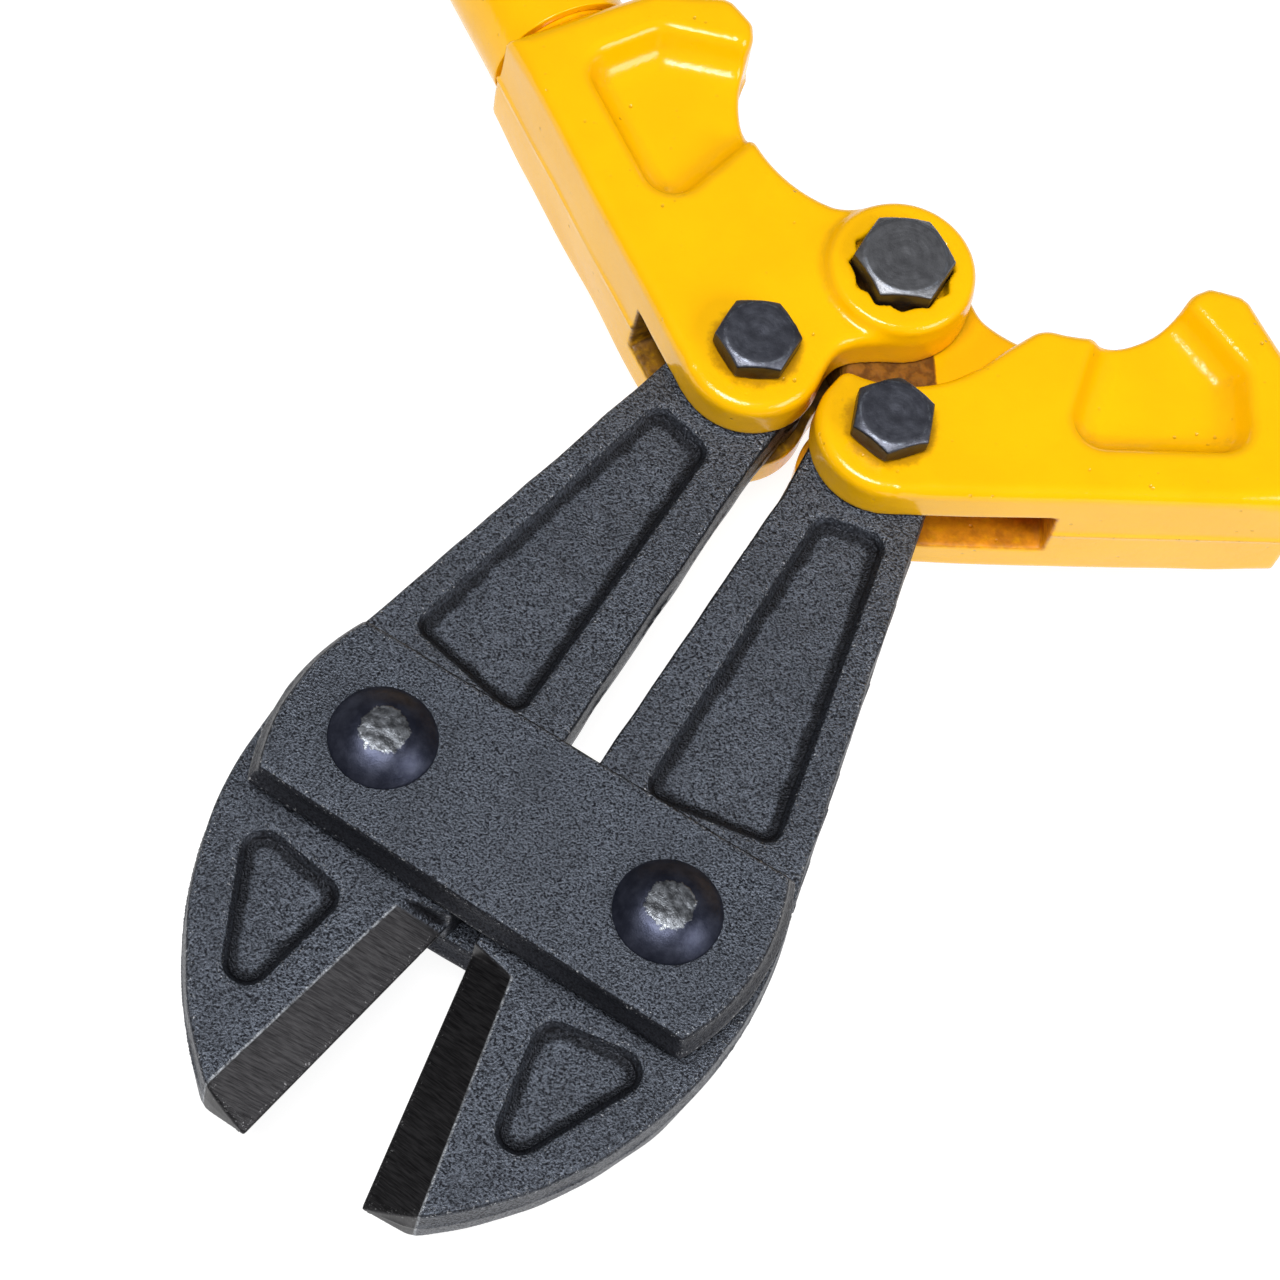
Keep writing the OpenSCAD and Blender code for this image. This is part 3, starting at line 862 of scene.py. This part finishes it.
# rivets, bolts, washers and nuts
fastenerSettings = {
    "step": 0.21,
    "jaw": {"across": 11.0, "shank": 3.5, "headLow": 11.7, "headHigh": 15.7, "nutLow": -18.4,
            "nutHigh": -12.9, "end": -19.4, "washer": (7.5, -12.9, -11.7), "pitch": 1.0},
    "main": {"across": 13.0, "shank": 4.5, "headLow": 10.5, "headHigh": 16.3, "nutLow": -23.5,
             "nutHigh": -17.1, "end": -24.5, "washer": (9.5, -15.1, -13.5), "pitch": 1.25},
    "lockWasher": (7.6, -17.1, -15.1),  # radius and both faces
    "corner": 0.16,
    "threadDepth": 0.42,  # of the pitch
}


def hexagonField(b, across, low, high, turn, corner):
    # a hexagon with chamfered ends
    r = b.ring(0, 0, 0)
    sides = -np.inf
    for k in range(3):
        a = math.radians(turn + 30 + 60 * k)
        sides = np.maximum(sides, np.abs(b.x * math.cos(a) + b.y * math.sin(a)) - across / 2)
    ends = b.between(low, high)
    cone = np.maximum(b.z - high, low - b.z) * 0.875 + (r - across / 2 + 0.5) * 0.485
    return common(common(sides, cone, corner * 0.6), ends, corner)


def shankField(b, s, size):
    k = s[size]
    pitch, end, top = k["pitch"], k["end"], k["headLow"] + 1
    threadTop = k["nutHigh"] + 1
    r = b.ring(0, 0, 0)
    turn = np.arctan2(b.y, b.x) / (2 * math.pi)
    tooth = np.abs(((b.z / pitch - turn) % 1.0) - 0.5) * 2
    radius = np.where(b.z < threadTop, k["shank"] - s["threadDepth"] * pitch * tooth, k["shank"])
    body = (r - radius) * 0.8
    lead = (r - radius.max() + 0.9) * 0.7 + (end - b.z) * 0.7
    return np.maximum(np.maximum(body, lead), np.maximum(end - b.z, b.z - top))


def fastenerBlock(s, low, high, wide):
    return Block((-wide, -wide, low - 0.8), (wide, wide, high + 0.8), s["step"])


def makeBolt(name, s, size, seat, turn):
    k = s[size]
    b = fastenerBlock(s, k["end"], k["headHigh"], k["across"] / math.sqrt(3) + 0.9)
    head = hexagonField(b, k["across"], k["headLow"], k["headHigh"], turn, s["corner"])
    dish = 0.10 * np.exp(-(b.ring(0, 0, 0) / 1.1) ** 2)
    head = np.maximum(head, b.z - k["headHigh"] + dish)
    return skinned(name, b, np.minimum(head, shankField(b, s, size)) + 0.015 * b.waves(1.6, 4), seat)


def makeNut(name, s, size, seat, turn):
    k = s[size]
    b = fastenerBlock(s, k["nutLow"], k["nutHigh"], k["across"] / math.sqrt(3) + 0.9)
    body = hexagonField(b, k["across"], k["nutLow"], k["nutHigh"], turn, s["corner"])
    inward = np.minimum(b.z - k["nutLow"], k["nutHigh"] - b.z)
    bore = b.ring(0, 0, k["shank"]) - np.maximum(0.55 - inward, 0)
    return skinned(name, b, np.maximum(body, -bore) + 0.015 * b.waves(1.6, 8), seat)


def makeWasher(name, s, ring, hole, seat, split=False):
    outer, low, high = ring
    b = fastenerBlock(s, low, high, outer + 0.9)
    r = b.ring(0, 0, 0)
    flat = common(r - outer, hole - r)
    z = b.z
    if split:  # one turn of a spring, its ends sprung apart a little
        turn = np.arctan2(b.y, b.x) / (2 * math.pi)
        z = b.z - turn * 0.5
        gap = np.abs(b.y) - 0.45 - 0.25 * (b.x - hole) / (outer - hole)
        flat = np.maximum(flat, -np.maximum(gap, -b.x))
    body = common(flat, np.maximum(low - z, z - high), 0.25)
    return skinned(name, b, body + 0.01 * b.waves(2.2, 6), seat)


rivetSettings = {
    "step": 0.2,
    "radius": 5.0,
    "headRadius": 7.8,
    "domeHeight": 3.7,
    "flatHeight": 3.3,  # of the worn middle
    "top": 11.55,  # outer face of a strap
}


def makeRivet(side, s):
    b = Block((-8.8, -8.8, -15.8), (8.8, 8.8, 15.8), s["step"])
    dome = (s["headRadius"] ** 2 + s["domeHeight"] ** 2) / (2 * s["domeHeight"])
    up = np.abs(b.z)
    r = b.ring(0, 0, 0)
    ball = np.sqrt(r ** 2 + (up - (s["top"] + s["domeHeight"] - dome)) ** 2) - dome
    dent = 0.07 * b.waves(2.4, 20 + side)
    worn = up - s["top"] - s["flatHeight"] + dent + 0.02 * r
    head = common(ball + 0.02 * b.waves(5, 40 + side), worn, 0.5)
    head = common(head, s["top"] - up, 0.35)
    shank = common(r - s["radius"], up - s["top"] - 0.5)
    hand = "right" if side > 0 else "left"
    obj = skinned(hand + "Rivet", b, np.minimum(head, shank), Seat(rivetCentre, 0, side))
    return finished(obj, "rivet", "straps", "rivet_steel", hand + "_rivet")


def makeJawFasteners(side, s):
    hand = "right" if side > 0 else "left"
    body, seat, size = hand + "_handle", handleSeat(side), s["jaw"]
    bolt = makeBolt(hand + "JawBolt", s, "jaw", seat, 18 if side > 0 else -4)
    finished(bolt, "bolt", body, "bolt_steel", hand + "_jaw_bolt")
    nut = makeNut(hand + "JawNut", s, "jaw", seat, 12)
    finished(nut, "bolt", body, "bolt_steel", hand + "_jaw_nut")
    washer = makeWasher(hand + "JawWasher", s, size["washer"], size["shank"], seat)
    finished(washer, "bolt", body, "bolt_steel", hand + "_jaw_washer")


def makeMainFasteners(s):
    body, seat, size = "left_handle", Seat(mainPivot), s["main"]
    bolt = makeBolt("mainBolt", s, "main", seat, 30)
    finished(bolt, "mainBolt", body, "bolt_steel", "main_bolt")
    nut = makeNut("mainNut", s, "main", seat, 20)
    finished(nut, "bolt", body, "bolt_steel", "main_nut")
    washer = makeWasher("mainWasher", s, size["washer"], size["shank"], seat)
    finished(washer, "bolt", body, "bolt_steel", "main_washer")
    lockWasher = makeWasher("mainLockWasher", s, s["lockWasher"], size["shank"], seat, True)
    finished(lockWasher, "bolt", body, "bolt_steel", "main_lock_washer")


for side in (-1, 1):
    makeRivet(side, rivetSettings)
    makeJawFasteners(side, fastenerSettings)
makeMainFasteners(fastenerSettings)
print("fasteners made")


# tubes and grips
handleSettings = {
    "tubeRadius": 11.3,
    "tubeWall": 1.6,
    "tubeStart": 61.4,
    "tubeEnd": 314.5,
    "axis": 0.3,
    "gripStart": 193.5,
    "gripEnd": 317.5,
    "gripRadius": 14.0,
    "flangeRadius": 17.6,
    "gap": 0.05,  # between tube and spigot
    "ribHeight": 0.75,
    "ribWidth": 1.5,
    "ribPitch": 3.6,
    "ribCount": 24,
    "ribStart": 208.0,
}


def lathed(name, profile, axis, closed=False):
    # turns (along, radius) points about the handle's own axis
    segments = 96
    bm = bmesh.new()
    rings = []
    for along, radius in profile:
        if radius < 1e-6:
            rings.append([bm.verts.new((along, axis, 0))])
        else:
            angles = [2 * math.pi * k / segments for k in range(segments)]
            places = [(along, axis + radius * math.cos(a), radius * math.sin(a)) for a in angles]
            rings.append([bm.verts.new(place) for place in places])
    pairs = list(zip(rings, rings[1:])) + ([(rings[-1], rings[0])] if closed else [])
    for a, b in pairs:
        for k in range(segments):
            n = (k + 1) % segments
            loop = [a[k % len(a)], a[n % len(a)], b[n % len(b)], b[k % len(b)]]
            bm.faces.new([v for i, v in enumerate(loop) if v not in loop[:i]])
    bmesh.ops.recalc_face_normals(bm, faces=bm.faces)
    mesh = bpy.data.meshes.new(name)
    bm.to_mesh(mesh)
    bm.free()
    mesh.shade_smooth()
    return newObject(name, mesh)


def softened(profile, r, n=5):
    # rounds the corners of an open (along, radius) profile
    out = [profile[0]]
    for i in range(1, len(profile) - 1):
        p, q, t = (np.array(profile[i + k], float) for k in (-1, 0, 1))
        reach = min(r, np.linalg.norm(q - p) * 0.45, np.linalg.norm(t - q) * 0.45)
        a = q + (p - q) / np.linalg.norm(p - q) * reach
        c = q + (t - q) / np.linalg.norm(t - q) * reach
        out += [tuple((1 - u) ** 2 * a + 2 * u * (1 - u) * q + u * u * c) for u in np.linspace(0, 1, n)]
    return out + [profile[-1]]


def ribTree():
    # rings of one size, evenly spaced along +X
    tree = bpy.data.node_groups.new("gripRibs", "GeometryNodeTree")
    face = tree.interface
    face.new_socket("Geometry", in_out="OUTPUT", socket_type="NodeSocketGeometry")
    sockets = {}
    for label, kind in (("Count", "Int"), ("Pitch", "Float"), ("Radius", "Float"), ("Rib Height", "Float"),
                        ("Rib Width", "Float"), ("Start", "Vector"), ("Material", "Material")):
        sockets[label] = face.new_socket(label, in_out="INPUT", socket_type="NodeSocket" + kind).identifier
    into, out = tree.nodes.new("NodeGroupInput"), tree.nodes.new("NodeGroupOutput")

    def add(kind, **links):
        n = tree.nodes.new(kind)
        for key, value in links.items():
            socket = n.inputs[key.replace("_", " ")]
            if isinstance(value, bpy.types.NodeSocket):
                tree.links.new(value, socket)
            else:
                socket.default_value = value
        return n

    ring = add("GeometryNodeCurvePrimitiveCircle", Resolution=96, Radius=into.outputs["Radius"])
    section = add("GeometryNodeCurvePrimitiveCircle", Resolution=12, Radius=1.0)
    widths = add("ShaderNodeCombineXYZ", X=into.outputs["Rib Height"], Y=into.outputs["Rib Width"], Z=1.0)
    shaped = add("GeometryNodeTransform", Geometry=section.outputs["Curve"], Scale=widths.outputs[0])
    rib = add("GeometryNodeCurveToMesh", Curve=ring.outputs["Curve"], Profile_Curve=shaped.outputs[0])
    stood = add("GeometryNodeTransform", Geometry=rib.outputs[0], Rotation=(0, math.pi / 2, 0))
    spacing = add("ShaderNodeCombineXYZ", X=into.outputs["Pitch"])
    row = add("GeometryNodeMeshLine", Count=into.outputs["Count"], Start_Location=into.outputs["Start"],
              Offset=spacing.outputs[0])
    placed = add("GeometryNodeInstanceOnPoints", Points=row.outputs[0], Instance=stood.outputs[0])
    real = add("GeometryNodeRealizeInstances", Geometry=placed.outputs[0])
    dressed = add("GeometryNodeSetMaterial", Geometry=real.outputs[0], Material=into.outputs["Material"])
    tree.links.new(dressed.outputs[0], out.inputs[0])
    return tree, sockets


ribs, ribSockets = ribTree()


def makeRibs(name, s):
    obj = newObject(name + "Source", bpy.data.meshes.new(name + "Source"))
    modifier = obj.modifiers.new("ribs", "NODES")
    modifier.node_group = ribs
    values = {"Count": s["ribCount"], "Pitch": s["ribPitch"], "Radius": s["gripRadius"] - 0.1,
              "Rib Height": s["ribHeight"], "Rib Width": s["ribWidth"],
              "Start": (s["ribStart"], s["axis"], 0.0), "Material": materials["grip"]}
    for label, value in values.items():
        modifier[ribSockets[label]] = value
    bpy.context.view_layer.update()
    graph = bpy.context.evaluated_depsgraph_get()
    mesh = bpy.data.meshes.new_from_object(obj.evaluated_get(graph))
    obj.modifiers.clear()
    bpy.data.objects.remove(obj)
    bm = bmesh.new()
    bm.from_mesh(mesh)
    bmesh.ops.recalc_face_normals(bm, faces=bm.faces)
    bm.to_mesh(mesh)
    bm.free()
    mesh.shade_smooth()
    mesh.name = name
    return newObject(name, mesh)


def makeHandle(side, s):
    hand = "right" if side > 0 else "left"
    body = hand + "_handle"
    outer, inner = s["tubeRadius"], s["tubeRadius"] - s["tubeWall"] + s["gap"]
    a, e = s["tubeStart"], s["tubeEnd"]
    tubeProfile = softened([(a + 3, inner), (a, inner), (a, outer), (a + 0.8, outer)], 0.25)
    tubeProfile += [(x, outer) for x in (a + 1.0, a + 1.4, *np.linspace(a + 8, e - 1, 30))]
    tubeProfile += [(e, outer - 0.3), (e, inner)]
    tube = settle(lathed(hand + "Tube", tubeProfile, s["axis"], closed=True), handleSeat(side))
    finished(tube, "enamelRight" if side > 0 else "enamelLeft", body, "yellow_tube", hand + "_tube")
    g, h, r, f = s["gripStart"], s["gripEnd"], s["gripRadius"], s["flangeRadius"]
    t = outer + 0.03
    flange = [(g + 4, t), (g + 0.3, t), (g, r - 0.9), (g + 0.4, r + 0.4), (g + 2.0, f - 0.5), (g + 3.6, f),
              (g + 5.4, f - 0.9), (g + 9.5, r + 0.1), (g + 12, r)]
    end = [(h - 16, r), (h - 13.5, r + 0.6), (h - 4.5, r + 0.6), (h - 0.8, r - 1.9), (h, r - 5),
           (h - 0.5, 3.2), (h - 0.55, 0)]
    outside = softened(flange + end, 1.4)
    grip = settle(lathed(hand + "Grip", [(h - 3, 0), (h - 3, t)] + outside, s["axis"]), handleSeat(side))
    finished(grip, "grip", body, "grip_rubber", hand + "_grip")
    ribsPiece = settle(makeRibs(hand + "GripRibs", s), handleSeat(side))
    ribsPiece.data.materials.clear()
    ribsPiece.data.materials.append(materials["grip"])
    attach(ribsPiece, body)


for side in (-1, 1):
    makeHandle(side, handleSettings)
print("handles made")
